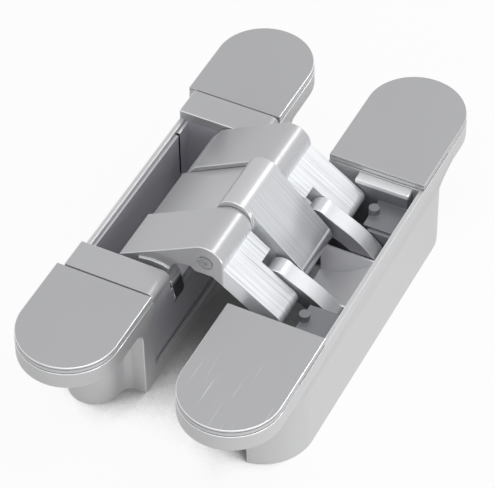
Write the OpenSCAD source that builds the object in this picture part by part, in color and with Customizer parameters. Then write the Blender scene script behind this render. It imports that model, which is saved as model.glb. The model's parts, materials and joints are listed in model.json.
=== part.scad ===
/* [Bodies] */
// Width of each body across its face, mm
body_width = 32; // [32:0.5:36]
// Length of each body between its round ends, mm
body_length = 158; // [154:1:176]
// Depth from the face to the underside, mm
body_depth = 36; // [36:0.5:42]
// Gap between the two bodies with the door open, mm
body_gap = 20.4; // [20.2:0.1:21]
// Thickness of the flange under the caps, mm
flange_thickness = 5.7; // [5:0.1:7]
// Thickness of the body floor, mm
floor_thickness = 2; // [1.6:0.1:2.4]
// Thickness of the outer pocket walls, mm
wall_thickness = 1.6; // [1.2:0.1:2]
// Distance the left pocket wall stands back from the flange edge, mm
left_wall_setback = 2.5; // [1.5:0.1:3.5]
// Length of the deep box under the flange, mm
box_length = 97; // [94:1:104]

/* [Caps] */
// Thickness of a cover cap, mm
cap_thickness = 2.5; // [2:0.1:3]
// Distance from the middle of the left body to its caps, mm
left_cap_start = 42.1; // [42:0.1:43.5]
// Distance from the middle of the right body to its caps, mm
right_cap_start = 34.4; // [34.2:0.1:36]
// Inset of a cap from the flange edge, mm
cap_inset = 0.2; // [0.1:0.05:0.5]
// Height of the shadow line under a cap, mm
cap_reveal = 0.35; // [0.2:0.05:0.6]
// Thickness of the lid plate on a cap, with the fine line under it, mm
cap_lid = 0.9; // [0.8:0.1:1.2]
// Height of the fine line under the lid plate, mm
cap_line = 0.25; // [0.2:0.05:0.35]
// Radius of the peg that holds a cap, mm
cap_peg_radius = 1.5; // [1.2:0.1:2]
// Distance from the middle of the body to the cap peg, mm
cap_peg_at = 60; // [59.5:0.5:61]
// Distance from the middle of the right body to the end of a lifting slit, mm
lift_slit_end = 52; // [48:0.5:56]

/* [Fixing] */
// Radius of a fixing screw hole, mm
screw_hole_radius = 2.75; // [2.2:0.05:3]
// Radius of the countersink at the flange top, mm
countersink_radius = 4.9; // [4.4:0.1:5.4]
// Distance between the two fixing holes of a body, mm
screw_spacing = 136; // [135:0.5:138]
// Radius of an adjusting screw, mm
adjuster_radius = 3; // [2.5:0.1:3.4]
// Length of an adjusting screw, mm
adjuster_length = 20; // [16:1:22]
// Distance from the middle of the body to an adjusting screw, mm
adjuster_at = 51.6; // [51.2:0.1:52]
// Radius of the round boss around a left adjusting screw, mm
boss_radius = 8.5; // [8:0.1:8.8]
// Radius of the hollow corner between a left boss and the end of its box, mm
boss_fillet = 4; // [3.5:0.1:4.2]
// Radius of the hollow blend between a left end and its flange, mm
blend_radius = 5; // [4:0.5:6]

/* [Linkage] */
// Height of the centre pin above the faces, mm
knuckle_height = 6; // [5.8:0.1:6.2]
// Distance of the body pivots from the body's inner face, mm
pivot_inset = 2.8; // [2.7:0.05:2.9]
// Depth of the body pivots below the faces, mm
pivot_depth = 13; // [12.8:0.1:13.2]
// Distance between the two faces with the door closed, mm
closed_gap = 4; // [3.8:0.1:4.2]
// Turn of a leaf link in the right body for each unit of fold
link_turn = 0.26; // [0.25:0.005:0.27]
// Sideways offset of the arm stack from the body middle, mm
stack_offset = 0.9; // [0.6:0.1:0.9]

/* [Arms] */
// Radius of the knuckle around the centre pin, mm
knuckle_radius = 6.1; // [5.9:0.1:6.2]
// Slope of the left limbs, degrees
left_slope = 29.5; // [29:0.1:30]
// Slope of the right limbs, degrees
right_slope = 35; // [34.5:0.1:35.5]
// Thickness of a limb, mm
limb_thickness = 5.8; // [5.6:0.1:5.9]
// Length of a left limb from the centre pin, mm
left_reach = 29.9; // [29.4:0.1:30.1]
// Length of an outer arm's tail from the centre pin, mm
tail_reach = 29; // [28.4:0.1:29.2]
// Slope of the mid arm's right limb, degrees
mid_slope = 44.5; // [44:0.1:45]
// Length of the mid arm's right limb from the centre pin, mm
mid_reach = 23.3; // [23:0.1:23.4]
// Radius of the mid arm's hump, mm
hump_radius = 5.9; // [5.7:0.1:6]
// Height of the hump's centre above the centre pin, mm
hump_rise = 1.9; // [1.7:0.1:2]
// Distance from the centre pin to the notch for a leaf link, mm
notch_at = 13.1; // [12.8:0.05:13.2]
// Half of the width of the mid arm, mm
mid_half_width = 10.4; // [10.2:0.1:10.4]
// Half of the width of the mid arm in the right body, mm
mid_tail_half = 9.6; // [9.2:0.1:9.6]
// Width of an outer arm, mm
outer_arm_width = 18.5; // [18:0.1:18.5]
// Width of a leaf link, mm
link_width = 6; // [5.5:0.1:6]
// Radius of the barrel at the mid arm's end, mm
barrel_radius = 3.9; // [3.7:0.1:4]

/* [Pins] */
// Radius of the centre pin, mm
center_pin_radius = 2.1; // [1.8:0.05:2.2]
// Radius of a body pivot pin or link pin, mm
pivot_pin_radius = 1.75; // [1.5:0.05:1.8]
// Radius of a pin that runs in a slot, mm
guide_pin_radius = 1.4; // [1.2:0.05:1.45]
// Wall of the bush in the mid arm, mm
bush_wall = 0.9; // [0.7:0.05:1.1]

/* [Clearances] */
// Side gap between pieces that move past each other, mm
side_gap = 0.3; // [0.25:0.01:0.35]
// Radial clearance of a pin that turns in its hole, mm
running_fit = 0.05; // [0.03:0.01:0.08]
// Radial clearance of a pin that is fixed in its hole, mm
fixed_fit = 0.02; // [0.015:0.005:0.03]
// Radial clearance of a pin in its curved slot, mm
slot_fit = 0.4; // [0.35:0.01:0.45]
// Clearance of a carriage in its housing, mm
carriage_gap = 0.1; // [0.05:0.01:0.15]

/* [Hidden] */
$fn = 72;

near = -1;
far = 1;
left = -1;
right = 1;

inner_x = body_gap / 2;
outer_x = inner_x + body_width;
middle_x = inner_x + body_width / 2;
flange_top = -cap_thickness;
flange_bottom = flange_top - flange_thickness;
underside = -body_depth;
floor_top = underside + floor_thickness;
tray_top = floor_top + 2.2;
strip_depth = 3;
left_block_in = 31.2;
left_block_out = left_cap_start - 0.5;
right_block_in = 30.5;
right_block_out = right_cap_start - 0.3;
left_wall_x = outer_x - left_wall_setback;
boss_x = inner_x + 15.6;
right_adjuster_x = outer_x - 8.7;
deep_end_at = (box_length - 10.4) / 2;
deep_end_radius = body_width / 2 + 0.02;
fillet_reach = boss_fillet - 0.05;
fillet_y = box_length / 2 + fillet_reach;
fillet_x = sqrt(pow(boss_radius + fillet_reach, 2) - pow(fillet_y - adjuster_at, 2));
lip_top = underside + 5;
apron_bottom = underside + 9.5;

centre = [0, knuckle_height];
left_pivot = [-inner_x - pivot_inset, -pivot_depth];
right_pivot = [inner_x + pivot_inset, -pivot_depth];
pivot_arm = norm(centre - left_pivot);
fold_end = 180 - asin((closed_gap / 2 + pivot_depth) / pivot_arm)
    - atan2(centre[1] - left_pivot[1], centre[0] - left_pivot[0]);
centre_ratio = 180 / fold_end - 2;

left_limb_bottom = limb_thickness - knuckle_radius * cos(left_slope);
outer_left_top = knuckle_radius - 0.05;
mid_left_top = outer_left_top - 1.4;
mid_right_top = hump_radius + hump_rise * cos(mid_slope) - 0.05;
mid_right_bottom = mid_right_top - limb_thickness - 0.4;
right_limb_top = 3.24;
right_limb_bottom = right_limb_top - limb_thickness - 0.1;
tail_radius = (right_limb_top - right_limb_bottom) / 2;
link_eye = along_right(20.24, 0.37);
link_slope = 30;
link_length = (outer_x - wall_thickness - carriage_gap - 6.91 - link_eye[0]) / cos(link_slope);
guide_start = link_eye + turned([link_length, 0], -link_slope);
slide_start = centre + turned([19, left_limb_bottom + 1.2], 180 + left_slope);
barrel_at = along_mid(mid_reach + 0.2, mid_right_top - barrel_radius - 0.1);
eye_radius = 4.1;
link_boss_radius = 2.7;
lug_radius = 3;
slide_boss_radius = 2.6;

outer_in = mid_half_width + side_gap;
outer_out = outer_in + outer_arm_width;
link_in = outer_in + 0.25;
link_out = link_in + link_width;
tail_in = link_out + 0.35;
leg_in = outer_out - 5.2;
leg_out = outer_out + 0.7;
rib_half = 1.75;
web_in = mid_tail_half + side_gap;
post_top = -13.8;
cradle_low = -24.6;
slit_at = 25.4;
slit_half = 0.45;
nose_length = 5.5;
nose_drop = 2.4;
slit_bottom = -21;
lining_top = -4.2;
ledge_in = inner_x + 10.5;
ledge_out = outer_x - 3.8;
shelf_top = -8.6;
post_thickness = 2;

// Turns a point in the plane of the fold
function turned(v, a) = [v[0] * cos(a) - v[1] * sin(a), v[0] * sin(a) + v[1] * cos(a)];

// Point at a distance along a right limb and at an offset above its axis
function along_right(s, n) = [0, knuckle_height] + turned([s, n], -right_slope);

// Point at a distance along the mid arm's right limb and at an offset above its axis
function along_mid(s, n) = [0, knuckle_height] + turned([s, n], -mid_slope);

// Centre pin in the left body at a fold angle
function knuckle_left(t) = left_pivot + turned(centre - left_pivot, t);

// Centre pin in the right body at a fold angle
function knuckle_right(t) = [-knuckle_left(t)[0], knuckle_left(t)[1]];

// Slide pin of the mid arm in the left body
function slide_path(t) = knuckle_left(t) + turned(slide_start - centre, (1 + centre_ratio) * t);

// Guide pin of a leaf link in the right body
function guide_path(t) = knuckle_right(t) + turned(link_eye - centre, -(1 + centre_ratio) * t)
    + turned(guide_start - link_eye, link_turn * t);

// Centre of the circle through three points
function circle_det(a, b, c) = 2 * (a[0] * (b[1] - c[1]) + b[0] * (c[1] - a[1]) + c[0] * (a[1] - b[1]));
function circle_x(a, b, c) = (a * a * (b[1] - c[1]) + b * b * (c[1] - a[1]) + c * c * (a[1] - b[1]))
    / circle_det(a, b, c);
function circle_y(a, b, c) = (a * a * (c[0] - b[0]) + b * b * (a[0] - c[0]) + c * c * (b[0] - a[0]))
    / circle_det(a, b, c);
function circle_centre(a, b, c) = [circle_x(a, b, c), circle_y(a, b, c)];

slide_mid = slide_path(fold_end / 2);
slide_end = slide_path(fold_end);
slide_centre = circle_centre(slide_start, slide_mid, slide_end);
slide_radius = norm(slide_start - slide_centre);
slot_half = guide_pin_radius + slot_fit;
guide_far = guide_path(fold_end * 0.66);

// Stands the part on its underside
module raised() {
    translate([0, 0, body_depth]) children();
}

// Extrudes a side profile between two positions along the body
module slab(y0, y1) {
    translate([0, y1, 0]) rotate([90, 0, 0]) linear_extrude(y1 - y0) children();
}

// Extrudes a side profile between two distances from the middle of the arm stack
module lane(side, a, b) {
    slab(stack_offset + min(side * a, side * b), stack_offset + max(side * a, side * b)) children();
}

// Round bar across the body at a point of the side profile
module bar(p, r, y0, y1) {
    translate([p[0], y1, p[1]]) rotate([90, 0, 0]) cylinder(h = y1 - y0, r = r);
}

// Round bar in a lane of the arm stack
module lane_bar(p, r, side, a, b) {
    bar(p, r, stack_offset + min(side * a, side * b), stack_offset + max(side * a, side * b));
}

// Box from one corner to the opposite one
module block(a, b) {
    translate(a) cube(b - a);
}

// Rounded bar profile between two points
module stadium_2d(a, b, r) {
    translate(a) circle(r);
    translate(b) circle(r);
    translate(a) rotate(atan2(b[1] - a[1], b[0] - a[0])) translate([0, -r]) square([norm(b - a), 2 * r]);
}

// Straight plate profile that starts at the centre pin
module limb_2d(angle, s0, s1, low, high) {
    translate(centre) rotate(angle) translate([s0, low]) square([s1 - s0, high - low]);
}

// Face outline of a body, made smaller by an inset
module face_2d(inset) {
    r = body_width / 2 - inset;
    y = body_length / 2 - body_width / 2;
    translate([middle_x, y]) circle(r);
    translate([middle_x, -y]) circle(r);
    translate([middle_x - r, -y]) square([2 * r, 2 * y]);
}

// End part of the face outline, from a distance to the tip
module end_2d(inset, start, side) {
    intersection() {
        face_2d(inset);
        translate([inner_x - 1, side > 0 ? start : -start - body_length])
            square([body_width + 2, body_length]);
    }
}

// Flange pad at one end of a body
module flange_end(start, side) {
    translate([0, 0, flange_bottom]) linear_extrude(flange_thickness) end_2d(0, start, side);
}

// Holes of a flange pad: screw hole, peg hole and adjusting screw hole
module flange_holes(adjuster_x, side) {
    fixing_hole(side);
    translate([middle_x, side * cap_peg_at, flange_bottom - 1])
        cylinder(h = flange_thickness + 2, r = cap_peg_radius + fixed_fit);
    adjuster_hole(adjuster_x, side);
}

// Screw hole with its countersink
module fixing_hole(side) {
    sink = countersink_radius - screw_hole_radius;
    translate([middle_x, side * screw_spacing / 2, flange_bottom - 1])
        cylinder(h = flange_thickness + 2, r = screw_hole_radius);
    translate([middle_x, side * screw_spacing / 2, flange_top - sink])
        cylinder(h = sink + 0.01, r1 = screw_hole_radius, r2 = countersink_radius + 0.01);
}

// Blind hole for an adjusting screw
module adjuster_hole(x, side) {
    translate([x, side * adjuster_at, flange_top - 0.6 - adjuster_length])
        cylinder(h = adjuster_length + 2, r = adjuster_radius + fixed_fit);
}

// Cover cap at one end of a body
module cap(start, side) {
    translate([0, 0, flange_top + cap_reveal]) linear_extrude(cap_thickness - cap_reveal - cap_lid)
        end_2d(cap_inset, start, side);
    translate([0, 0, -cap_lid - 0.1]) linear_extrude(0.2 + cap_line)
        end_2d(cap_inset + 0.5, start + 0.5, side);
    translate([0, 0, cap_line - cap_lid]) linear_extrude(cap_lid - cap_line)
        end_2d(cap_inset, start, side);
    translate([0, 0, flange_top]) linear_extrude(cap_reveal + 0.1)
        end_2d(cap_inset + 0.6, start + 0.6, side);
    translate([middle_x, side * cap_peg_at, flange_top - flange_thickness + 1])
        cylinder(h = flange_thickness, r = cap_peg_radius);
}

// Slit for lifting a right cap, along its outer edge
module lift_slit(side) {
    block([outer_x - 1, side > 0 ? 0 : -lift_slit_end, flange_top], [outer_x, side > 0 ? lift_slit_end : 0,
        flange_top + cap_reveal + 0.4]);
}

// Adjusting screw with a hexagon socket
module adjuster(x, side) {
    translate([x, side * adjuster_at, flange_top - 0.6 - adjuster_length]) difference() {
        cylinder(h = adjuster_length, r = adjuster_radius);
        translate([0, 0, adjuster_length - 3]) cylinder(h = 4, r = adjuster_radius * 0.6, $fn = 6);
    }
}

// Deep box of a body, open at the face and towards the gap
module box_shell(wall_x, pocket_out) {
    half = box_length / 2;
    difference() {
        block([inner_x + 0.1, -half, underside], [wall_x, half, flange_top]);
        block([inner_x - 1, -pocket_out, lip_top], [inner_x + 1.5, pocket_out, 1]);
        block([inner_x + 1.4, -pocket_out, floor_top], [wall_x - wall_thickness, pocket_out, 1]);
    }
}

// Sloping sides and floor of a carriage, seen from the end
module tray_2d(apron_top, wall_x) {
    translate([inner_x + 1.5, floor_top]) square([wall_x - inner_x - 1.5, tray_top - floor_top]);
    translate([inner_x + 1.5, floor_top]) square([1.6, apron_bottom - floor_top + 2]);
    translate([inner_x + 0.1, apron_bottom]) square([1.6, apron_top - apron_bottom]);
}

// Strip across the end of the left pocket, rounded over at the gap
module strip_2d() {
    round_r = 2.5;
    translate([inner_x + 0.1 + round_r, -round_r]) circle(round_r);
    translate([inner_x + 0.1, -strip_depth]) square([left_wall_x - inner_x, strip_depth - round_r]);
    translate([inner_x + 0.1 + round_r, -strip_depth])
        square([left_wall_x - inner_x - round_r, strip_depth]);
}

module left_housing() {
    color([0.80, 0.80, 0.81]) raised() mirror([1, 0, 0]) difference() {
        union() {
            difference() {
                box_shell(left_wall_x, left_block_out + carriage_gap);
                block([inner_x - 1, -left_block_out - carriage_gap, -strip_depth],
                    [outer_x + 1, left_block_out + carriage_gap, 1]);
                block([left_wall_x - wall_thickness - 1, slit_at - slit_half, slit_bottom],
                    [left_wall_x - 0.7, slit_at + slit_half, lining_top]);
            }
            for (side = [near, far]) {
                flange_end(left_cap_start, side);
                translate([boss_x, side * adjuster_at, underside])
                    cylinder(h = flange_bottom - underside + 1, r = boss_radius);
                for (turn = [left, right]) boss_corner(side, turn);
                left_blends(side);
            }
        }
        for (side = [near, far]) flange_holes(boss_x, side);
    }
}

// Hollow upright corner between a boss and the end of the deep box
module boss_corner(side, turn) {
    x = boss_x + turn * fillet_x;
    translate([0, 0, underside]) linear_extrude(flange_bottom - underside + 1) difference() {
        polygon([[x, side * (box_length / 2 - 1)], [boss_x, side * (box_length / 2 - 1)],
            [boss_x, side * adjuster_at], [x, side * fillet_y]]);
        translate([x, side * fillet_y]) circle(boss_fillet);
    }
}

// Hollow blends from the flange to the boss and to the end of the deep box
module left_blends(side) {
    intersection() {
        union() {
            translate([boss_x, side * adjuster_at, 0]) blend_ring(boss_radius);
            difference() {
                block([inner_x + 0.1, side > 0 ? box_length / 2 - 1 : -box_length / 2 - blend_radius,
                    flange_bottom - blend_radius], [left_wall_x, side > 0 ? box_length / 2 + blend_radius :
                    1 - box_length / 2, flange_bottom + 1]);
                translate([0, side * (box_length / 2 + blend_radius), flange_bottom - blend_radius])
                    rotate([0, 90, 0]) cylinder(h = 2 * outer_x, r = blend_radius);
            }
        }
        translate([0, 0, underside]) linear_extrude(body_depth) end_2d(0, left_cap_start, side);
    }
}

// Hollow round blend under the flange, around a wall of a radius
module blend_ring(r) {
    rotate_extrude() difference() {
        translate([r - 1, flange_bottom - blend_radius]) square([blend_radius + 1, blend_radius + 1]);
        translate([r + blend_radius, flange_bottom - blend_radius]) circle(blend_radius);
    }
}

module left_carriage() {
    wall_x = left_wall_x - wall_thickness - carriage_gap;
    color([0.62, 0.62, 0.64]) raised() difference() {
        union() {
            mirror([1, 0, 0]) {
                for (side = [near, far]) {
                    y0 = side > 0 ? left_block_in : -left_block_out;
                    y1 = y0 + left_block_out - left_block_in;
                    slab(y0, y1) strip_2d();
                    block([inner_x + 0.1, y0, apron_bottom], [wall_x, y1, -strip_depth + 0.01]);
                    block([inner_x + 1.5, y0, floor_top], [wall_x, y1, apron_bottom + 1]);
                    lane(side, leg_out + 0.4, left_block_in + 2) cheek_2d();
                }
                slab(-left_block_in - 1, left_block_in + 1) tray_2d(-12, wall_x);
                block([wall_x - 1, -left_block_in - 1, floor_top], [wall_x, left_block_in + 1, lining_top]);
            }
            lane(far, -rib_half, rib_half) slide_rib_2d();
        }
        // room for the arm lugs and holes for their pins
        for (side = [near, far]) {
            lane(side, leg_in - side_gap, leg_out + side_gap) {
                translate([-inner_x - 5, -pivot_depth]) square([6, pivot_depth + 2]);
                translate(left_pivot) circle(lug_radius + side_gap);
            }
            bar(left_pivot, pivot_pin_radius + fixed_fit,
                side > 0 ? left_block_in - 2 : -left_block_out + 1.5,
                side > 0 ? left_block_out - 1.5 : -left_block_in + 2);
        }
        // slit in the pocket lining
        block([-outer_x, slit_at - slit_half, slit_bottom], [-wall_x + 3, slit_at + slit_half, 1]);
        lane(far, -rib_half - 1, rib_half + 1) slide_slot_2d();
    }
}

// Cheek beside the lug of an outer arm
module cheek_2d() {
    translate([inner_x + 0.1, apron_bottom]) square([5, shelf_top - apron_bottom]);
}

// Curved guide of the slide pin and the post that carries it
module slide_rib_2d() {
    intersection() {
        translate(slide_centre) circle(slide_radius + slot_half + 0.9);
        translate([-inner_x - 30, -30]) square([29.9, 40]);
    }
    translate([-inner_x - 3.3, apron_bottom]) square([3.2, slide_centre[1] - apron_bottom]);
    translate([-inner_x - 3.3, floor_top]) square([1.8, apron_bottom + 1 - floor_top]);
}

// Track of the slide pin
module slide_slot_2d() {
    a0 = atan2(slide_start[1] - slide_centre[1], slide_start[0] - slide_centre[0]);
    a1 = atan2(slide_end[1] - slide_centre[1], slide_end[0] - slide_centre[0]) + 360;
    start = a0 < 0 ? a0 + 360 : a0;
    sweep = a1 - start;
    translate(slide_start) circle(slot_half);
    translate(slide_end) circle(slot_half);
    intersection() {
        translate(slide_centre) difference() {
            circle(slide_radius + slot_half);
            circle(slide_radius - slot_half);
        }
        polygon(concat([slide_centre],
            [for (i = [0:6]) slide_centre + turned([slide_radius * 2, 0], start + sweep * i / 6)]));
    }
}

module right_housing() {
    color([0.82, 0.82, 0.83]) raised() difference() {
        union() {
            difference() {
                box_shell(outer_x, right_block_out + carriage_gap);
                // room for the round ends
                for (side = [near, far])
                    block([middle_x + 3, side > 0 ? deep_end_at : -box_length, underside - 1],
                        [outer_x + 1, side > 0 ? box_length : -deep_end_at, flange_top + 1]);
            }
            for (side = [near, far]) {
                flange_end(right_cap_start, side);
                deep_end(side);
            }
        }
        for (side = [near, far]) flange_holes(right_adjuster_x, side);
    }
}

// Round deep end of the right body, blended into the flange
module deep_end(side) {
    intersection() {
        union() {
            translate([middle_x, side * deep_end_at, underside])
                cylinder(h = flange_bottom - underside + 1, r = deep_end_radius);
            translate([middle_x, side * deep_end_at, 0]) blend_ring(deep_end_radius);
        }
        translate([0, 0, underside]) linear_extrude(body_depth) end_2d(0, deep_end_at - 2, side);
        block([middle_x + 2.3, -body_length, underside], [outer_x + 1, body_length, 0]);
    }
}

module right_carriage() {
    wall_x = outer_x - wall_thickness - carriage_gap;
    color([0.66, 0.66, 0.68]) raised() difference() {
        union() {
            for (side = [near, far]) {
                y0 = side > 0 ? right_block_in : -right_block_out;
                y1 = y0 + right_block_out - right_block_in;
                block([inner_x + 0.1, y0, apron_bottom], [wall_x, y1, -strip_depth]);
                block([inner_x + 1.5, y0, floor_top], [wall_x, y1, apron_bottom + 1]);
                lane(side, tail_in, tail_in + post_thickness)
                    guide_wall_2d(wall_x - 10, wall_x, shelf_top - 1);
                lane(side, web_in, link_in - side_gap) guide_wall_2d(inner_x + 8.6, wall_x, post_top);
                lane(side, tail_in + 1, right_block_in + 2) shelf_2d(wall_x);
                translate([wall_x - 10.7, stack_offset + side * 24.2, shelf_top - 1])
                    cylinder(h = 3.4, r = 1.7);
            }
            slab(-right_block_in - 1, right_block_in + 1) tray_2d(-25, wall_x);
            lane(far, -rib_half, rib_half) pivot_post_2d();
            lane(far, -web_in - 0.1, web_in + 0.1) cradle_2d(wall_x);
        }
        lane_bar(right_pivot, pivot_pin_radius + fixed_fit, far, -rib_half - 1, rib_half + 1);
        for (side = [near, far]) {
            lane(side, link_in - side_gap, tail_in + 4)
                stadium_2d(guide_start, guide_far, slot_half + 0.25);
            ledge_notch(side, inner_x - 1, ledge_in);
            ledge_notch(side, ledge_out, outer_x);
        }
        // low edge beside the near cap
        block([inner_x - 1, -right_block_in - 1.9, shelf_top], [outer_x, -right_block_in + 1, 1]);
    }
}

// Upright wall beside a leaf link, which carries its guide pin
module guide_wall_2d(x0, x1, top) {
    translate([x0, floor_top]) square([x1 - x0, top - floor_top]);
}

// Shelf at the end of the right pocket
module shelf_2d(wall_x) {
    translate([wall_x - 11.7, shelf_top - 2]) square([11.7, 2]);
}

// Hollow that receives the mid arm, sloping up to the outer wall
module cradle_2d(wall_x) {
    polygon([[wall_x, floor_top], [wall_x, post_top + 1.6], [wall_x - 3.2, post_top - 0.9],
        [wall_x - 12.2, cradle_low + 3], [wall_x - 16.5, cradle_low + 1], [wall_x - 21.5, cradle_low],
        [wall_x - 25.5, cradle_low], [wall_x - 25.5, floor_top]]);
}

// Cut at an end of the ledge beside a right cap
module ledge_notch(side, x0, x1) {
    block([x0, side > 0 ? right_block_in - 1 : -right_block_out - 1, shelf_top - 0.4],
        [x1, side > 0 ? right_block_out + 1 : 1 - right_block_in, 1]);
}

// Post that carries the pivot pin of the mid arm
module pivot_post_2d() {
    translate([inner_x + 0.2, apron_bottom]) square([3.5, -pivot_depth - apron_bottom]);
    translate([inner_x + 1.5, floor_top]) square([2.2, apron_bottom + 1 - floor_top]);
    translate(right_pivot) circle(lug_radius - 0.2);
}

module left_near_cap() {
    color([0.68, 0.68, 0.69]) raised() mirror([1, 0, 0]) cap(left_cap_start, near);
}

module left_far_cap() {
    color([0.68, 0.68, 0.69]) raised() mirror([1, 0, 0]) cap(left_cap_start, far);
}

module right_near_cap() {
    color([0.68, 0.68, 0.69]) raised() difference() {
        cap(right_cap_start, near);
        lift_slit(near);
    }
}

module right_far_cap() {
    color([0.68, 0.68, 0.69]) raised() difference() {
        cap(right_cap_start, far);
        lift_slit(far);
    }
}

module left_near_pin() {
    color([0.55, 0.55, 0.57]) raised()
        bar(left_pivot, pivot_pin_radius, -left_block_out + 1.6, stack_offset - leg_in - 0.2);
}

module left_far_pin() {
    color([0.55, 0.55, 0.57]) raised()
        bar(left_pivot, pivot_pin_radius, stack_offset + leg_in + 0.2, left_block_out - 1.6);
}

module left_adjusters() {
    color([0.45, 0.45, 0.47]) raised() mirror([1, 0, 0])
        for (side = [near, far]) adjuster(boss_x, side);
}

module right_adjusters() {
    color([0.45, 0.45, 0.47]) raised()
        for (side = [near, far]) adjuster(right_adjuster_x, side);
}

module right_pivot_pin() {
    color([0.55, 0.55, 0.57]) raised()
        lane_bar(right_pivot, pivot_pin_radius, far, -mid_tail_half + 0.3, mid_tail_half - 0.3);
}

// Knuckle with its flat underside
module knuckle_2d() {
    intersection() {
        translate(centre) circle(knuckle_radius);
        translate([-10, centre[1] - 4.8]) square([20, 20]);
    }
}

// Left limb and knuckle with the arch under them
module left_limb_2d(top) {
    knuckle_2d();
    difference() {
        limb_2d(180 + left_slope, 0, left_reach, -top, left_limb_bottom);
        translate([-6.2, -3.6]) circle(6);
    }
}

// Leg of an outer arm that reaches down to the body pivot
module leg_2d() {
    difference() {
        polygon([[-22, -1], [-17.5, -0.3], [-13.9, -0.6], [-11.6, -1.35], [-10.9, -8.6],
            left_pivot + [lug_radius, 0], left_pivot - [lug_radius, 0], [-22, -7]]);
        translate([-6.2, -3.6]) circle(6);
    }
    translate(left_pivot) circle(lug_radius);
}

// Tail of an outer arm with its round end
module tail_2d() {
    limb_2d(-right_slope, 2, tail_reach - tail_radius, right_limb_bottom, right_limb_top);
    translate(along_right(tail_reach - tail_radius, right_limb_top - tail_radius)) circle(tail_radius);
}

module outer_arm(side) {
    difference() {
        union() {
            lane(side, outer_in, outer_out) left_limb_2d(outer_left_top);
            lane(side, outer_in + 0.9, outer_out)
                limb_2d(-right_slope, 2, notch_at, right_limb_bottom, right_limb_top);
            lane(side, tail_in, outer_out) tail_2d();
            lane(side, leg_in, leg_out) leg_2d();
        }
        lane_bar(centre, center_pin_radius + fixed_fit, side, outer_in - 1, outer_out + 1);
        lane_bar(link_eye, pivot_pin_radius + fixed_fit, side, tail_in - 1, outer_out - 1);
        lane_bar(left_pivot, pivot_pin_radius + running_fit, side, leg_in - 1, leg_out + 1);
        lane_bar(centre, center_pin_radius + 0.5, side, outer_out - 0.4, outer_out + 1);
    }
}

module near_arm() {
    color([0.75, 0.75, 0.76]) raised() outer_arm(near);
}

// Slanted nose at the end of the far arm's left limb
module nose_2d() {
    top = -outer_left_top;
    translate(centre) rotate(180 + left_slope) polygon([[left_reach - nose_length, top],
        [left_reach - nose_length, top - 1], [left_reach + nose_length, top - 1],
        [left_reach + nose_length, top + 2 * nose_drop]]);
}

module far_arm() {
    color([0.75, 0.75, 0.76]) raised() difference() {
        outer_arm(far);
        lane(far, outer_in - 1, outer_out + 1) nose_2d();
    }
}

module center_pin() {
    color([0.6, 0.6, 0.62]) raised() difference() {
        lane_bar(centre, center_pin_radius, far, -outer_out + 0.1, outer_out - 0.1);
        for (side = [near, far]) lane_bar(centre, 0.8, side, outer_out - 0.5, outer_out + 1);
    }
}

module near_link_pin() {
    color([0.55, 0.55, 0.57]) raised()
        lane_bar(link_eye, pivot_pin_radius, near, link_in, outer_out - 1.1);
}

module far_link_pin() {
    color([0.55, 0.55, 0.57]) raised()
        lane_bar(link_eye, pivot_pin_radius, far, link_in, outer_out - 1.1);
}

// Lug of the mid arm that reaches down to the right body's pivot
module mid_lug_2d() {
    polygon([along_mid(8, 2), right_pivot - [lug_radius, 0], right_pivot + [lug_radius, 0],
        along_mid(20, 2.5)]);
    translate(right_pivot) circle(lug_radius);
}

module mid_arm() {
    color([0.75, 0.75, 0.76]) raised() difference() {
        union() {
            lane(far, -mid_half_width, mid_half_width) {
                left_limb_2d(mid_left_top);
                translate(centre + [0, hump_rise]) circle(hump_radius);
            }
            lane(far, -mid_tail_half, mid_tail_half) {
                limb_2d(-mid_slope, -1, mid_reach, mid_right_bottom, mid_right_top);
                translate(barrel_at) circle(barrel_radius);
            }
            for (side = [near, far]) {
                lane(side, rib_half + side_gap, mid_tail_half) mid_lug_2d();
                lane(side, rib_half + side_gap, mid_half_width)
                    translate(slide_start) circle(slide_boss_radius);
            }
        }
        // hollow above the slide rib
        lane(far, -rib_half - side_gap, rib_half + side_gap)
            limb_2d(180 + left_slope, 9, left_reach + 2, left_limb_bottom - 2.6, 8);
        lane_bar(centre, center_pin_radius + running_fit + bush_wall + fixed_fit, far, -mid_half_width - 1,
            mid_half_width + 1);
        lane_bar(slide_start, guide_pin_radius + fixed_fit, far, -mid_half_width - 1, mid_half_width + 1);
        lane_bar(barrel_at, pivot_pin_radius + fixed_fit, far, -mid_half_width - 1, mid_half_width + 1);
        lane_bar(right_pivot, pivot_pin_radius + running_fit, far, -mid_half_width - 1, mid_half_width + 1);
    }
}

module center_bush() {
    color([0.7, 0.62, 0.45]) raised() difference() {
        lane_bar(centre, center_pin_radius + running_fit + bush_wall, far, -mid_half_width, mid_half_width);
        lane_bar(centre, center_pin_radius + running_fit, far, -mid_half_width - 1, mid_half_width + 1);
    }
}

module slide_pin() {
    color([0.55, 0.55, 0.57]) raised()
        lane_bar(slide_start, guide_pin_radius, far, -mid_half_width + 0.2, mid_half_width - 0.2);
}

module barrel_pin() {
    color([0.55, 0.55, 0.57]) raised()
        lane_bar(barrel_at, pivot_pin_radius, far, -mid_tail_half + 0.2, mid_tail_half - 0.2);
}

// Half width of a leaf link at a fraction of its length, between the eye and the boss
function link_half(t) = eye_radius + (link_boss_radius - eye_radius) * t;

// Arched bow of the lower edge of a leaf link
function link_bow(t) = 7.6 * t * (1 - t);

// Crown of the upper edge of a leaf link, highest towards the boss
function link_crown(t) = 5.4 * t * t * (1 - t);

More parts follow.
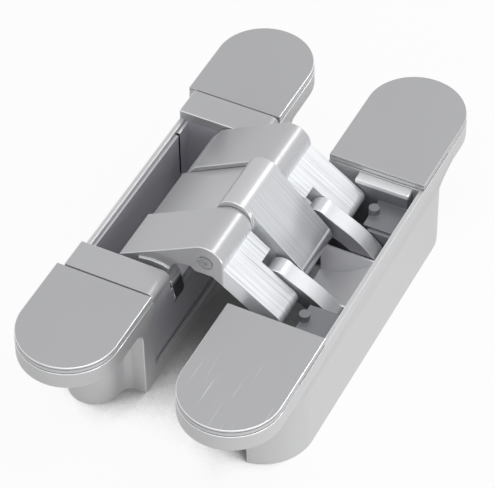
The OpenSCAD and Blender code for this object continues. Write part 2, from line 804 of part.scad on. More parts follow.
module link_2d() {
    n = 14;
    polygon(concat(
        [for (i = [0:n]) eye_radius * [cos(270 - 180 * i / n), sin(270 - 180 * i / n)]],
        [for (i = [1:n - 1]) [link_length * i / n, link_half(i / n) + link_crown(i / n)]],
        [for (i = [0:n]) [link_length, 0]
            + link_boss_radius * [cos(90 - 180 * i / n), sin(90 - 180 * i / n)]],
        [for (i = [n - 1:-1:1]) [link_length * i / n, link_bow(i / n) - link_half(i / n)]]));
}

module leaf_link(side) {
    difference() {
        lane(side, link_in, link_out) translate(link_eye) rotate(-link_slope) link_2d();
        lane_bar(link_eye, pivot_pin_radius + running_fit, side, link_in - 1, link_out + 1);
        lane_bar(guide_start, guide_pin_radius + fixed_fit, side, link_in - 1, link_out + 1);
    }
}

module near_link() {
    color([0.82, 0.82, 0.83]) raised() leaf_link(near);
}

module far_link() {
    color([0.82, 0.82, 0.83]) raised() leaf_link(far);
}

module near_guide_pin() {
    color([0.55, 0.55, 0.57]) raised()
        lane_bar(guide_start, guide_pin_radius, near, link_in + 0.1, tail_in + 1.7);
}

module far_guide_pin() {
    color([0.55, 0.55, 0.57]) raised()
        lane_bar(guide_start, guide_pin_radius, far, link_in + 0.1, tail_in + 1.7);
}

left_housing();
left_carriage();
left_near_cap();
left_far_cap();
left_near_pin();
left_far_pin();
left_adjusters();
right_housing();
right_carriage();
right_near_cap();
right_far_cap();
right_pivot_pin();
right_adjusters();
near_arm();
far_arm();
center_pin();
near_link_pin();
far_link_pin();
mid_arm();
center_bush();
slide_pin();
barrel_pin();
near_link();
far_link();
near_guide_pin();
far_guide_pin();
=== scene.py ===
# %% [markdown]
# # A concealed hinge, dressed for its portrait
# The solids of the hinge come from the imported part. This lesson loads them, rounds their edges as a casting
# or a steel arm really has them, gives every piece its finish, and sets up a plain studio around the open
# hinge. It all lies in the frame of the part: X from the left body to the right one, Y along the bodies and
# Z out of the faces. Sizes are written in millimetres, as on a drawing, and MM turns them to metres.

# %% Load the part
import json
import math

import bmesh
import bpy
from mathutils import Matrix, Vector


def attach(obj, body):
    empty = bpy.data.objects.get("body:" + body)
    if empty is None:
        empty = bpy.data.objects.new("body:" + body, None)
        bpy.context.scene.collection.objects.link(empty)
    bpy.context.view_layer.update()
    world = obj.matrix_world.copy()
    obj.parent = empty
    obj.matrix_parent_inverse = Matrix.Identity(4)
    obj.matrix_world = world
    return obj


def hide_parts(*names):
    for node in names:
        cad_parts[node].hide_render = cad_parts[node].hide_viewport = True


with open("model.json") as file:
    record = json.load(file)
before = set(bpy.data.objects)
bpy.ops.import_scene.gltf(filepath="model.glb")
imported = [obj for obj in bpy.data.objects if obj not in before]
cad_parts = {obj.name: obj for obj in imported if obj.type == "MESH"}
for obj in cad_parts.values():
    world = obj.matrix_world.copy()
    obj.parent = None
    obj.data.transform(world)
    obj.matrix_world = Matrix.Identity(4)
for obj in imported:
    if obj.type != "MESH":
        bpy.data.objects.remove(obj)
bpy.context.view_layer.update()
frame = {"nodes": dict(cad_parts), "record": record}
nodes = frame["nodes"]
body_of_node = {}
for body_name, members in frame["record"]["behaviour"]["bodies"].items():
    for member in members:
        body_of_node[member] = body_name
MM = 0.001

# %% [markdown]
# ## Colours and nodes
# The finishes are written as sRGB hex values, the way a colour picker shows them, and one function turns
# them to the linear values that the shader wants. A second small function adds a shader node with its
# settings, values and links, so that each finish below reads as a short list. A third starts a finish with
# the Object coordinates, which stay with a piece when it moves.


# %% Helpers for the finishes
def linear(hex_colour):
    parts = [int(hex_colour[i:i + 2], 16) / 255 for i in (1, 3, 5)]
    return tuple(c / 12.92 if c <= 0.04045 else ((c + 0.055) / 1.055) ** 2.4 for c in parts) + (1.0,)


def add(tree, kind, settings=None, values=None, links=None):
    node = tree.nodes.new(kind)
    for key, value in (settings or {}).items():
        setattr(node, key, value)
    for key, value in (values or {}).items():
        node.inputs[key].default_value = value
    for key, source in (links or {}).items():
        tree.links.new(source, node.inputs[key])
    return node


def finish(name):
    material = bpy.data.materials.new(name)
    material.use_nodes = True
    tree = material.node_tree
    tree.nodes.clear()
    place = add(tree, "ShaderNodeTexCoord")
    return material, tree, place.outputs["Object"]


print("white is", linear("#FFFFFF")[:3])

# %% [markdown]
# ## Satin silver on the die castings
# The bodies and caps are die castings with a satin silver coat. It is part paint and part metal: it takes
# light like a matt surface and still shows a broad, soft sheen. The coat has a very fine grain from its
# flakes, and slow, faint clouds of gloss where the casting was polished before coating. The flakes are about
# 0.05 mm on the real coat, too fine to show here, so the grain is drawn at 0.35 mm.

# %% Satin silver
GRAIN_MM = 0.35
CLOUD_MM = 22
GRAIN_SHARE = 0.25
FLAKE_DEPTH_MM = 0.05
SATIN_METAL = 0.35


def satin_silver(name, light, dark, rough, metal=SATIN_METAL):
    material, tree, place = finish(name)
    grain = add(tree, "ShaderNodeTexNoise", values={"Scale": 1 / (GRAIN_MM * MM), "Detail": 2.0},
                links={"Vector": place})
    cloud = add(tree, "ShaderNodeTexNoise", values={"Scale": 1 / (CLOUD_MM * MM), "Detail": 3.0},
                links={"Vector": place})
    both = add(tree, "ShaderNodeMix", {"data_type": "FLOAT"}, {0: GRAIN_SHARE},
               {2: cloud.outputs["Fac"], 3: grain.outputs["Fac"]})
    tint = add(tree, "ShaderNodeMix", {"data_type": "RGBA"}, {6: linear(dark), 7: linear(light)},
               {0: both.outputs[0]})
    gloss = add(tree, "ShaderNodeMapRange", values={3: rough - 0.05, 4: rough + 0.06},
                links={0: cloud.outputs["Fac"]})
    bump = add(tree, "ShaderNodeBump", values={"Strength": 0.04, "Distance": FLAKE_DEPTH_MM * MM},
               links={"Height": grain.outputs["Fac"]})
    skin = add(tree, "ShaderNodeBsdfPrincipled", values={"Metallic": metal},
               links={"Base Color": tint.outputs[2], "Roughness": gloss.outputs[0],
                      "Normal": bump.outputs[0]})
    add(tree, "ShaderNodeOutputMaterial", links={"Surface": skin.outputs[0]})
    return material


CAP_ROUGH = 0.46
casting_silver = satin_silver("satin_silver_die_casting", "#D8D8D9", "#D0D0D1", 0.42)
cap_silver = satin_silver("satin_silver_cover_cap", "#BABABC", "#B4B4B6", CAP_ROUGH)
# Paler, glossier finish for bevel faces: a painted highlight along the edges, with the polish of handled
# edges.
painted_highlight_edge = satin_silver("painted_edge_highlight", "#F2F3F4", "#E6E7E8", 0.30, 0.6)
print("satin finishes:", [m.name for m in (casting_silver, cap_silver, painted_highlight_edge)])

# %% [markdown]
# ## A cap with rub marks
# The near cap on the right has been handled: a few long, thin, light rub marks run along it, towards its
# round end. They are a noise that is drawn out along the body (Y) and cut off high, so that only its peaks
# show. Real marks are some 0.1 mm wide: here they are about 0.4 mm, or they would be lost between the pixels.

# %% Rubbed cap
MARK_ACROSS_MM = 0.9
MARK_ALONG_MM = 24
MARKS_START_MM = -48.0
MARKS_FULL_MM = -62.0
PEAK_FROM = 0.64
PEAK_FULL = 0.74
MARK_STRENGTH = 0.6


def rubbed_cap(name, plain, mark):
    material, tree, place = finish(name)
    split = add(tree, "ShaderNodeSeparateXYZ", links={"Vector": place})
    reach = add(tree, "ShaderNodeMapRange", values={1: MARKS_START_MM * MM, 2: MARKS_FULL_MM * MM},
                links={0: split.outputs["Y"]})
    stretch = add(tree, "ShaderNodeMapping",
                  values={"Scale": (1 / (MARK_ACROSS_MM * MM), 1 / (MARK_ALONG_MM * MM), 1.0)},
                  links={"Vector": place})
    streak = add(tree, "ShaderNodeTexNoise", values={"Scale": 1.0, "Detail": 1.0},
                 links={"Vector": stretch.outputs[0]})
    peak = add(tree, "ShaderNodeMapRange", values={1: PEAK_FROM, 2: PEAK_FULL, 4: MARK_STRENGTH},
               links={0: streak.outputs["Fac"]})
    amount = add(tree, "ShaderNodeMath", {"operation": "MULTIPLY"},
                 links={0: reach.outputs[0], 1: peak.outputs[0]})
    tint = add(tree, "ShaderNodeMix", {"data_type": "RGBA"}, {6: linear(plain), 7: linear(mark)},
               {0: amount.outputs[0]})
    skin = add(tree, "ShaderNodeBsdfPrincipled", values={"Metallic": SATIN_METAL, "Roughness": CAP_ROUGH},
               links={"Base Color": tint.outputs[2]})
    add(tree, "ShaderNodeOutputMaterial", links={"Surface": skin.outputs[0]})
    return material


rubbed_cap_silver = rubbed_cap("rubbed_satin_silver_cap", "#B7B7B9", "#E2E2E4")
print("rubbed cap:", rubbed_cap_silver.name)

# %% [markdown]
# ## The carriages
# The carriage in each body has the satin coat, drawn in one tone on the faces that show when the door is open
# and in another down in the pocket; one function mixes the two, and the second tone is painted light in the
# left body and painted shade in the right one. In the left body the change follows the height alone: the
# lining below the strips is painted paler than the strips, as painted light in the shaded pocket. In the
# right body the two end pockets are painted dark below the ledges, as painted shade, and the rest, the hollow
# between them among it, is painted bright, as painted light.

# %% Carriage finish
FACE_MM = 36.0
STACK_MIDDLE_MM = 0.9
CARRIAGE_CLOUD_MM = 14
FADE_DOWN_MM = 0.6
FADE_ALONG_MM = 0.3
CARRIAGE_SMOOTHEST = 0.34
CARRIAGE_ROUGHEST = 0.50


def carriage_silver(name, face, deep, edge_mm, from_middle_mm):
    material, tree, place = finish(name)
    split = add(tree, "ShaderNodeSeparateXYZ", links={"Vector": place})
    below = add(tree, "ShaderNodeMapRange", values={1: edge_mm * MM, 2: (edge_mm - FADE_DOWN_MM) * MM},
                links={0: split.outputs["Z"]})
    along = add(tree, "ShaderNodeMath", {"operation": "SUBTRACT"}, {1: STACK_MIDDLE_MM * MM},
                {0: split.outputs["Y"]})
    away = add(tree, "ShaderNodeMath", {"operation": "ABSOLUTE"}, links={0: along.outputs[0]})
    outside = add(tree, "ShaderNodeMapRange",
                  values={1: (from_middle_mm - FADE_ALONG_MM) * MM, 2: from_middle_mm * MM},
                  links={0: away.outputs[0]})
    # Mask for the painted tone: low in the pocket, and in the right body only in the end pockets.
    painted_tone_mask = add(tree, "ShaderNodeMath", {"operation": "MULTIPLY"},
               links={0: below.outputs[0], 1: outside.outputs[0]})
    grain = add(tree, "ShaderNodeTexNoise", values={"Scale": 1 / (GRAIN_MM * MM), "Detail": 2.0},
                links={"Vector": place})
    cloud = add(tree, "ShaderNodeTexNoise", values={"Scale": 1 / (CARRIAGE_CLOUD_MM * MM), "Detail": 2.0},
                links={"Vector": place})
    tint = add(tree, "ShaderNodeMix", {"data_type": "RGBA"}, {6: linear(face), 7: linear(deep)},
               {0: painted_tone_mask.outputs[0]})
    gloss = add(tree, "ShaderNodeMapRange", values={3: CARRIAGE_SMOOTHEST, 4: CARRIAGE_ROUGHEST},
                links={0: cloud.outputs["Fac"]})
    bump = add(tree, "ShaderNodeBump", values={"Strength": 0.05, "Distance": FLAKE_DEPTH_MM * MM},
               links={"Height": grain.outputs["Fac"]})
    skin = add(tree, "ShaderNodeBsdfPrincipled", values={"Metallic": SATIN_METAL},
               links={"Base Color": tint.outputs[2], "Roughness": gloss.outputs[0],
                      "Normal": bump.outputs[0]})
    add(tree, "ShaderNodeOutputMaterial", links={"Surface": skin.outputs[0]})
    return material


LEFT_EDGE_MM = FACE_MM - 3.0
RIGHT_EDGE_MM = FACE_MM - 4.0
END_POCKETS_MM = 17.2
# Left carriage: the lining below the strips is painted paler, as painted light.
left_carriage_painted_light = carriage_silver("left_carriage_painted_light", "#BCBCBE", "#D2D2D8", LEFT_EDGE_MM, 0.0)
# Right carriage: dark end pockets as painted shade, a bright hollow and ledges as painted light.
right_carriage_painted_light_and_shade = carriage_silver("right_carriage_painted_light_and_shade", "#F0F0F2", "#84858A", RIGHT_EDGE_MM,
                                        END_POCKETS_MM)
print("carriage finishes:", left_carriage_painted_light.name, right_carriage_painted_light_and_shade.name)

# %% [markdown]
# ## Brushed steel on the arms
# The arms are steel. Their left limbs have a satin silver like that of the caps, and the right limbs were
# brushed along their length, which leaves bright fine lines. The lines run down the slope of the limb, so
# the pattern changes quickly across the limb (Y) and slowly along it. Real brush lines are some 0.05 mm
# apart: they are drawn 0.4 mm apart so that they show. The middle arm is brushed more lightly than the outer
# ones. The lugs that reach down into the left body are drawn in a dark grey, which fades in over 1.5 mm below
# a height, so they are darker towards the bottom.

# %% Brushed arm steel
LUG_SIDE_MM = -9.0
LUG_FADE_MM = FACE_MM - 7.5
LUG_DARK_MM = FACE_MM - 9.0
BRUSH_START_FADE_MM = 0.8
LINE_MM = 0.4
LINES_PER_METRE_ALONG = 22.0
LINE_DEPTH_MM = 0.06
LINE_FROM = 0.38
LINE_FULL = 0.50


def brushed_arm_steel(name, satin, bright, lug_tone, start_mm, line_shade):
    material, tree, place = finish(name)
    split = add(tree, "ShaderNodeSeparateXYZ", links={"Vector": place})
    # Dark grey on the lugs, below a height inside the left body: darker towards the bottom.
    low = add(tree, "ShaderNodeMapRange", values={1: LUG_FADE_MM * MM, 2: LUG_DARK_MM * MM},
              links={0: split.outputs["Z"]})
    inside = add(tree, "ShaderNodeMath", {"operation": "LESS_THAN"}, {1: LUG_SIDE_MM * MM},
                 {0: split.outputs["X"]})
    lug = add(tree, "ShaderNodeMath", {"operation": "MULTIPLY"},
              links={0: low.outputs[0], 1: inside.outputs[0]})
    side = add(tree, "ShaderNodeMapRange",
               values={1: start_mm * MM, 2: (start_mm + BRUSH_START_FADE_MM) * MM},
               links={0: split.outputs["X"]})
    stretch = add(tree, "ShaderNodeMapping",
                  values={"Scale": (LINES_PER_METRE_ALONG, 1 / (LINE_MM * MM), LINES_PER_METRE_ALONG)},
                  links={"Vector": place})
    lines = add(tree, "ShaderNodeTexNoise", values={"Scale": 1.0, "Detail": 2.0, "Roughness": 0.6},
                links={"Vector": stretch.outputs[0]})
    grain = add(tree, "ShaderNodeTexNoise", values={"Scale": 1 / (LINE_MM * MM), "Detail": 2.0},
                links={"Vector": place})
    shade = add(tree, "ShaderNodeMapRange",
                values={1: LINE_FROM, 2: LINE_FULL, 3: 1.0 - line_shade, 4: 1.0},
                links={0: lines.outputs["Fac"]})
    brushed = add(tree, "ShaderNodeMix", {"data_type": "RGBA", "blend_type": "MULTIPLY"},
                  {0: 1.0, 6: linear(bright)}, {7: shade.outputs[0]})
    plain = add(tree, "ShaderNodeMix", {"data_type": "RGBA"}, {6: linear(satin)},
                {0: side.outputs[0], 7: brushed.outputs[2]})
    tint = add(tree, "ShaderNodeMix", {"data_type": "RGBA"}, {7: linear(lug_tone)},
               {0: lug.outputs[0], 6: plain.outputs[2]})
    height = add(tree, "ShaderNodeMix", {"data_type": "FLOAT"},
                 links={0: side.outputs[0], 2: grain.outputs["Fac"], 3: lines.outputs["Fac"]})
    bump = add(tree, "ShaderNodeBump", values={"Strength": 0.05, "Distance": LINE_DEPTH_MM * MM},
               links={"Height": height.outputs[0]})
    skin = add(tree, "ShaderNodeBsdfPrincipled", values={"Metallic": 0.4, "Roughness": 0.32},
               links={"Base Color": tint.outputs[2], "Normal": bump.outputs[0]})
    add(tree, "ShaderNodeOutputMaterial", links={"Surface": skin.outputs[0]})
    return material


# Dark grey for the lower part of the lugs.
LUG_TONE = "#4C4C4E"
OUTER_BRUSH_MM = 5.3
MID_BRUSH_MM = 3.6
outer_arm_steel = brushed_arm_steel("brushed_outer_arm_steel", "#C2C2C4", "#F4F6F9", LUG_TONE, OUTER_BRUSH_MM,
                                    0.28)
mid_arm_steel = brushed_arm_steel("brushed_mid_arm_steel", "#D0D0D2", "#D6D8DB", LUG_TONE, MID_BRUSH_MM, 0.14)
print("arm finishes:", outer_arm_steel.name, mid_arm_steel.name)

# %% [markdown]
# ## The other metals
# The leaf links are polished on their broad face, and their sides are painted a darker grey, as painted
# shade. The rolled barrel is the brightest steel, the pins are ground, the screws are plain and the bush is
# sintered bronze. All of them show the fine grain and slow clouds of the satin coat, with their own tones, so
# the same function makes them. The narrow slits are painted near black, as painted shade.

# %% Links, pins and slits
link_steel = satin_silver("polished_link_steel", "#D8D9DC", "#D0D1D4", 0.34, 0.5)
# Darker grey on the sides of the links: painted shade.
link_side_painted_shade = satin_silver("painted_shade_link_side", "#A4A4A9", "#9A9A9F", 0.42, 0.5)
barrel_steel = satin_silver("polished_barrel_steel", "#C6C6CC", "#BEBEC4", 0.20, 0.9)
# Lighter tone on the far arm's nose facet, picked by its normal: painted highlight.
nose_painted_highlight = satin_silver("painted_highlight_nose", "#D6D6D9", "#CECED1", 0.40, 0.4)
# Near black inside the narrow slits: painted shade.
slit_painted_shade = satin_silver("painted_shade_in_slits", "#141415", "#101011", 0.60, 0.0)
pin_steel = satin_silver("ground_pin_steel", "#B6B7BA", "#A9AAAD", 0.30, 0.9)
screw_steel = satin_silver("plain_screw_steel", "#8A8B8E", "#7D7E81", 0.35, 0.9)
bush_bronze = satin_silver("sintered_bush_bronze", "#B79A62", "#A88B55", 0.45, 0.9)
print("other finishes:", [m.name for m in (link_steel, barrel_steel, pin_steel, screw_steel, bush_bronze)])

# %% [markdown]
# ## Soft edges
# A casting has no knife edges: draft, coating and tumbling leave a radius of a few tenths of a millimetre,
# and that radius is what catches the light along each edge. Each visible piece is a copy of its solid. The
# copy's loose triangles are merged, flat faces are joined, and the sharp edges get a real bevel with the
# bmesh operator. An edge stays sharp where a face beside it is too narrow for a bevel on each side, and
# underneath, where it is out of sight. The narrow faces of the bevel get a paler, glossier finish: a painted
# highlight along the edge, with the lower roughness of edges polished by handling. Some faces of a piece have
# a finish of their own, and a small test picks them out by their middle (in millimetres) and their normal.

# %% Bevelled copies of the solids
MERGE_MM = 0.06
FLAT_DEGREES = 0.6
SHARP_DEGREES = 28
SHADE_DEGREES = 21
UNDERSIDE = -0.8
LARGEST_BEVEL_FACE = 4
ALL_HEIGHTS_MM = -1.0
soft_pieces = {}


def takes_bevel(edge, width_mm, lowest_mm):
    if len(edge.link_faces) != 2 or edge.calc_face_angle() <= math.radians(SHARP_DEGREES):
        return False
    if min(v.co.z for v in edge.verts) <= lowest_mm * MM:
        return False
    if min(f.normal.z for f in edge.link_faces) <= UNDERSIDE:
        return False
    return min(f.calc_area() for f in edge.link_faces) > 2 * width_mm * MM * edge.calc_length()


def softened(name, material, width_mm, lowest_mm=ALL_HEIGHTS_MM, highlight_at=None, others=()):
    bm = bmesh.new()
    bm.from_mesh(nodes[name].data)
    bmesh.ops.remove_doubles(bm, verts=bm.verts, dist=MERGE_MM * MM)
    bmesh.ops.dissolve_limit(bm, angle_limit=math.radians(FLAT_DEGREES), verts=bm.verts, edges=bm.edges)
    sharp = [edge for edge in bm.edges if takes_bevel(edge, width_mm, lowest_mm)]
    for face in bm.faces:
        face.material_index = 0
        for slot, (own_finish, test) in enumerate(others, start=2):
            if test(face.calc_center_median() / MM, face.normal):
                face.material_index = slot
    made = bmesh.ops.bevel(bm, geom=sharp, offset=width_mm * MM, offset_type="OFFSET", affect="EDGES",
                           segments=2, profile=0.5, material=-1, clamp_overlap=False)
    # Painted highlight: the bevel faces take slot 1 wherever the mask allows.
    for face in made["faces"]:
        if highlight_at is None or highlight_at(face.calc_center_median() / MM):
            face.material_index = 1
    bmesh.ops.recalc_face_normals(bm, faces=bm.faces)
    mesh = bpy.data.meshes.new("soft_" + name)
    bm.to_mesh(mesh)
    bm.free()
    for polygon in mesh.polygons:
        polygon.use_smooth = len(polygon.vertices) <= LARGEST_BEVEL_FACE
    mesh.set_sharp_from_angle(angle=math.radians(SHADE_DEGREES))
    piece = bpy.data.objects.new("soft_" + name, mesh)
    bpy.context.scene.collection.objects.link(piece)
    for slot_finish in [material, painted_highlight_edge] + [own_finish for own_finish, test in others]:
        mesh.materials.append(slot_finish)
    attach(piece, body_of_node[name])
    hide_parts(name)
    print("softened", name, len(sharp), "edges,", len(mesh.polygons), "faces")
    return piece


# %% [markdown]
# ## Bodies
# The housings and carriages are cast. The slit at the far end of the left pocket is painted near black, as
# painted shade: its faces lie within half a millimetre or so of the slit's middle, by the outer wall. The
# left housing's edges all get the painted highlight. On the other pieces the painted highlight is kept to the
# right housing's inner edges and near end, the webs and ledges of the right carriage, and the strips of the
# left one away from the joint with the caps.

# %% Housings and carriages
HOUSING_EDGE_MM = 0.2
LEFT_CARRIAGE_EDGE_MM = 0.22
RIGHT_CARRIAGE_EDGE_MM = 0.2
SLIT_MM = 25.4
SLIT_REACH_MM = 0.6
SLIT_WALL_MM = -36.5
SLIT_TOP_MM = FACE_MM - 4.3
STRIP_JOINT_MM = 41.0
OUTER_WALL_MM = 41.0
NEAR_END_MM = -34.0
LEDGE_MM = FACE_MM - 5.0
WEBS_MM = 12.5
HOLLOW_FLOOR_MM = 11.5


# Mask for the painted shade in the slit at the far end of the left pocket.
def in_slit(middle, normal):
    return middle.x < SLIT_WALL_MM and abs(middle.y - SLIT_MM) < SLIT_REACH_MM and middle.z < SLIT_TOP_MM


# The masks below pick the edges that get the painted highlight.
def off_the_joint(middle):
    return abs(middle.y) < STRIP_JOINT_MM


def inside_or_near_end(middle):
    return middle.x < OUTER_WALL_MM or middle.y < NEAR_END_MM


def web_or_ledge(middle):
    return middle.z > LEDGE_MM or abs(middle.y - STACK_MIDDLE_MM) < WEBS_MM


soft_pieces["left_housing"] = softened("left_housing", casting_silver, HOUSING_EDGE_MM,
                                       others=[(slit_painted_shade, in_slit)])
soft_pieces["left_carriage"] = softened("left_carriage", left_carriage_painted_light, LEFT_CARRIAGE_EDGE_MM,
                                        LEDGE_MM, off_the_joint, [(slit_painted_shade, in_slit)])
soft_pieces["right_housing"] = softened("right_housing", casting_silver, HOUSING_EDGE_MM,
                                        highlight_at=inside_or_near_end)
soft_pieces["right_carriage"] = softened("right_carriage", right_carriage_painted_light_and_shade, RIGHT_CARRIAGE_EDGE_MM,
                                         HOLLOW_FLOOR_MM, web_or_ledge)

# %% [markdown]
# ## Arms and links
# The arms are cut from thick steel. The far arm's left end is ground to a slanted nose, and the facet that
# faces up and to the left is painted a little lighter than the rest, as a painted highlight. The middle arm's
# right end is rolled to a polished barrel. The leaf links are stamped: their broad upper face is polished and
# their sides are painted a darker grey, as painted shade.

# %% Arms and links
STEEL_EDGE_MM = 0.22
BARREL_X_MM = 19.0
BARREL_Z_MM = 27.8
BARREL_REACH_MM = 4.0
NOSE_LEFTWARDS = -0.7
NOSE_UPWARDS = 0.4
SIDEWAYS = 0.7


# Picks the nose facet that gets the painted highlight.
def on_nose(middle, normal):
    return normal.x < NOSE_LEFTWARDS and normal.z > NOSE_UPWARDS


def on_barrel(middle, normal):
    return math.hypot(middle.x - BARREL_X_MM, middle.z - BARREL_Z_MM) < BARREL_REACH_MM


# Picks the link sides that get the painted shade.
def on_side(middle, normal):
    return abs(normal.y) > SIDEWAYS


for name, material, others in (
        ("near_arm", outer_arm_steel, []),
        ("far_arm", outer_arm_steel, [(nose_painted_highlight, on_nose)]),
        ("mid_arm", mid_arm_steel, [(barrel_steel, on_barrel)]),
        ("near_link", link_steel, [(link_side_painted_shade, on_side)]),
        ("far_link", link_steel, [(link_side_painted_shade, on_side)])):
    soft_pieces[name] = softened(name, material, STEEL_EDGE_MM, others=others)

# %% [markdown]
# ## Caps
# A cap is rounded at its rim only, above the fine line on its side, and its upright sides are painted in the
# paler silver of the flange, as painted light. Where a cap meets a strip there is a narrow dark joint, so the
# edges beside it keep their own colour and only the edges further off get the painted highlight. The far
# right cap's rim gets no painted highlight and keeps the satin. The lifting slit under a right cap's outer
# edge is painted near black, as painted shade.

# %% Caps
CAP_EDGE_MM = 0.22
RIM_MM = FACE_MM - 0.5
LIFT_SLIT_FROM_MM = 41.0
LIFT_SLIT_TO_MM = 41.5
LIFT_SLIT_TOP_MM = FACE_MM - 1.6
LEFT_JOINT_MM = 42.8
RIGHT_JOINT_MM = 35.1
LEAN = 0.5
OUTWARDS = 0.9


# Upright faces of a cap take the paler casting silver: painted light on the cap's sides.
def upright(middle, normal):
    return abs(normal.z) < LEAN


def in_lift_slit(middle, normal):
    across = LIFT_SLIT_FROM_MM < middle.x < LIFT_SLIT_TO_MM
    return across and middle.z < LIFT_SLIT_TOP_MM and normal.x > OUTWARDS


def past_left_joint(middle):
    return abs(middle.y) > LEFT_JOINT_MM


def past_right_joint(middle):
    return abs(middle.y) > RIGHT_JOINT_MM


def nowhere(middle):
    return False


for name, material, highlight_at in (
        ("left_near_cap", cap_silver, past_left_joint),
        ("left_far_cap", cap_silver, past_left_joint),
        ("right_near_cap", rubbed_cap_silver, past_right_joint),
        ("right_far_cap", cap_silver, nowhere)):
    soft_pieces[name] = softened(name, material, CAP_EDGE_MM, RIM_MM, highlight_at,
                                 # Cap sides get painted light, the lift slit gets painted shade.
                                 [(casting_silver, upright), (slit_painted_shade, in_lift_slit)])

# %% [markdown]
# ## Pins, bush and screws
# Pins, bush and screws are turned parts whose solids already have the right shape, so they stay as they are
# and only get their metal.

# %% Finishes of the turned parts
for name, node in nodes.items():
    if name in soft_pieces:
        continue
    metal = bush_bronze if "bush" in name else screw_steel if "adjusters" in name else pin_steel
    node.data.materials.clear()
    node.data.materials.append(metal)
    print(name, "->", metal.name)

# %% [markdown]
# ## The paper floor and the room
# The hinge stands on a sheet of paper in a pale room. The paper is white to the eye and in reflections, and
# it glows by itself where it is open to the room, so it needs no more light than the hinge does. Ambient
# occlusion tells where that is: where the hinge stands over the paper, as in the gap between the bodies, the
# glow fades and the paper itself turns grey, which is painted shade on top of the real shadow. The room is
# white to the eye too, and dimmer as a light.

# %% Paper floor
bpy.context.scene.view_settings.view_transform = "Standard"
PAPER_HALF_M = 4.0
COVER_REACH_MM = 60
COVERED = 0.30
OPEN = 0.42
GLOW_SHARE = 0.92


def in_view(tree):
    path = add(tree, "ShaderNodeLightPath")
    direct = add(tree, "ShaderNodeMath", {"operation": "MAXIMUM"},
                 links={0: path.outputs["Is Camera Ray"], 1: path.outputs["Is Glossy Ray"]})
    return add(tree, "ShaderNodeMath", {"operation": "MAXIMUM"},
               links={0: direct.outputs[0], 1: path.outputs["Is Transmission Ray"]}).outputs[0]


floor_mesh = bpy.data.meshes.new("paper_floor")
bm = bmesh.new()
bmesh.ops.create_grid(bm, x_segments=1, y_segments=1, size=PAPER_HALF_M)
bm.to_mesh(floor_mesh)
bm.free()
floor = bpy.data.objects.new("paper_floor", floor_mesh)
bpy.context.scene.collection.objects.link(floor)
paper, tree = finish("white_paper_sweep")[:2]
# Ambient occlusion drives painted shade: where the hinge covers the paper, the glow fades and the paper
# greys.
cover = add(tree, "ShaderNodeAmbientOcclusion", {"samples": 16}, {"Distance": COVER_REACH_MM * MM})
open_sky = add(tree, "ShaderNodeMapRange", values={1: COVERED, 2: OPEN}, links={0: cover.outputs["AO"]})
seen = add(tree, "ShaderNodeMath", {"operation": "MULTIPLY"},
           links={0: in_view(tree), 1: open_sky.outputs[0]})
share = add(tree, "ShaderNodeMath", {"operation": "MULTIPLY"}, {1: GLOW_SHARE}, {0: seen.outputs[0]})
# Grey paper under the hinge: painted shade.
tone = add(tree, "ShaderNodeMix", {"data_type": "RGBA"}, {6: linear("#A4A4A4"), 7: linear("#FFFFFF")},
           {0: seen.outputs[0]})
matt = add(tree, "ShaderNodeBsdfDiffuse", links={"Color": tone.outputs[2]})
glow = add(tree, "ShaderNodeEmission", values={"Color": linear("#FFFFFF"), "Strength": 1.0})
mix = add(tree, "ShaderNodeMixShader", links={0: share.outputs[0], 1: matt.outputs[0], 2: glow.outputs[0]})
add(tree, "ShaderNodeOutputMaterial", links={"Surface": mix.outputs[0]})
floor_mesh.materials.append(paper)
print("floor:", floor.name, "of", paper.name)

# %% Pale room
ROOM_STRENGTH = 0.52
world = bpy.data.worlds.new("pale_room")
bpy.context.scene.world = world
world.use_nodes = True
tree = world.node_tree
tree.nodes.clear()
room = add(tree, "ShaderNodeBackground", values={"Color": linear("#F2F3F4"), "Strength": ROOM_STRENGTH})
white = add(tree, "ShaderNodeBackground", values={"Color": linear("#FFFFFF"), "Strength": 1.0})
mix = add(tree, "ShaderNodeMixShader", links={0: in_view(tree), 1: room.outputs[0], 2: white.outputs[0]})
add(tree, "ShaderNodeOutputWorld", links={"Surface": mix.outputs[0]})
print("room:", world.name)

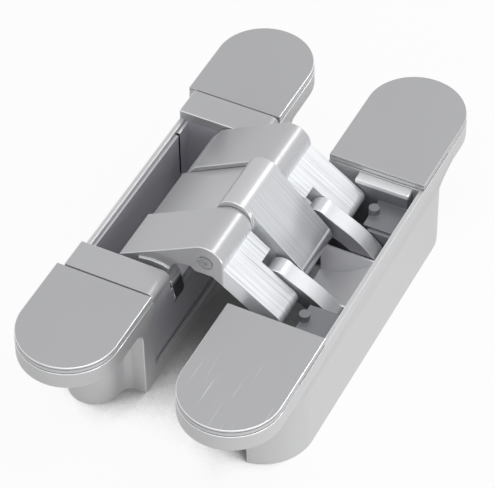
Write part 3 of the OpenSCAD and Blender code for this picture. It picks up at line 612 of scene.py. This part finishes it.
# %% [markdown]
# ## The lamps
# Four soft panels light the hinge: a wide one overhead, a smaller one at the far side, whose reflection lies
# along the knuckles, and two low ones. The low right panel lights the outer wall and the brushed limbs, and
# the low front one the round ends. The low panels can't reach into the gap between the bodies, so it stays
# dark. Each panel is aimed at a point a little above the paper.

# %% Lamps
AIM = Vector((0, 0, 0.03))


def panel(name, place, size, watts):
    lamp = bpy.data.lights.new(name, "AREA")
    lamp.shape = "RECTANGLE"
    lamp.size, lamp.size_y = size
    lamp.energy = watts
    holder = bpy.data.objects.new(name, lamp)
    holder.location = place
    holder.rotation_euler = (AIM - Vector(place)).to_track_quat("-Z", "Y").to_euler()
    bpy.context.scene.collection.objects.link(holder)


panel("overhead_panel", (0.05, 0.0, 1.2), (0.8, 0.8), 2.5)
panel("far_panel", (0.42, 0.74, 0.88), (0.3, 0.2), 1.4)
panel("low_right_panel", (0.9, -0.15, 0.10), (0.6, 0.12), 2.2)
panel("low_front_panel", (0.70, -0.65, 0.30), (0.6, 0.14), 1.4)

# %% [markdown]
# ## The camera
# The photograph was taken with a long lens from above the near right corner. Its place and turn were worked
# out from the outlines of the faces, so the camera is given by the two directions that fix it, to the right
# and backwards, and by its place over the faces. The lens follows from its focal length in pixels, as the
# picture's width in pixels fills the sensor.

# %% Camera
FOCAL_PIXELS = 2699.36
PICTURE_WIDTH_PIXELS = 495
SENSOR_MM = 36.0
EYE_OVER_FACE_MM = 576.145
right = Vector((0.89352483, 0.44888179, -0.010886))
back = Vector((0.31770261, -0.61490111, 0.72177675))
up = back.cross(right)
turn = Matrix((right, up, back)).transposed().to_4x4()
eye = Vector((258.62, -501.714, EYE_OVER_FACE_MM + FACE_MM)) * MM
camera_data = bpy.data.cameras.new("long_lens")
camera_data.sensor_width = SENSOR_MM
camera_data.lens = FOCAL_PIXELS / PICTURE_WIDTH_PIXELS * SENSOR_MM
camera_data.clip_end = 20
camera = bpy.data.objects.new("long_lens", camera_data)
camera.matrix_world = Matrix.Translation(eye) @ turn
bpy.context.scene.collection.objects.link(camera)
bpy.context.scene.camera = camera
print("lens", round(camera_data.lens, 1), "mm")
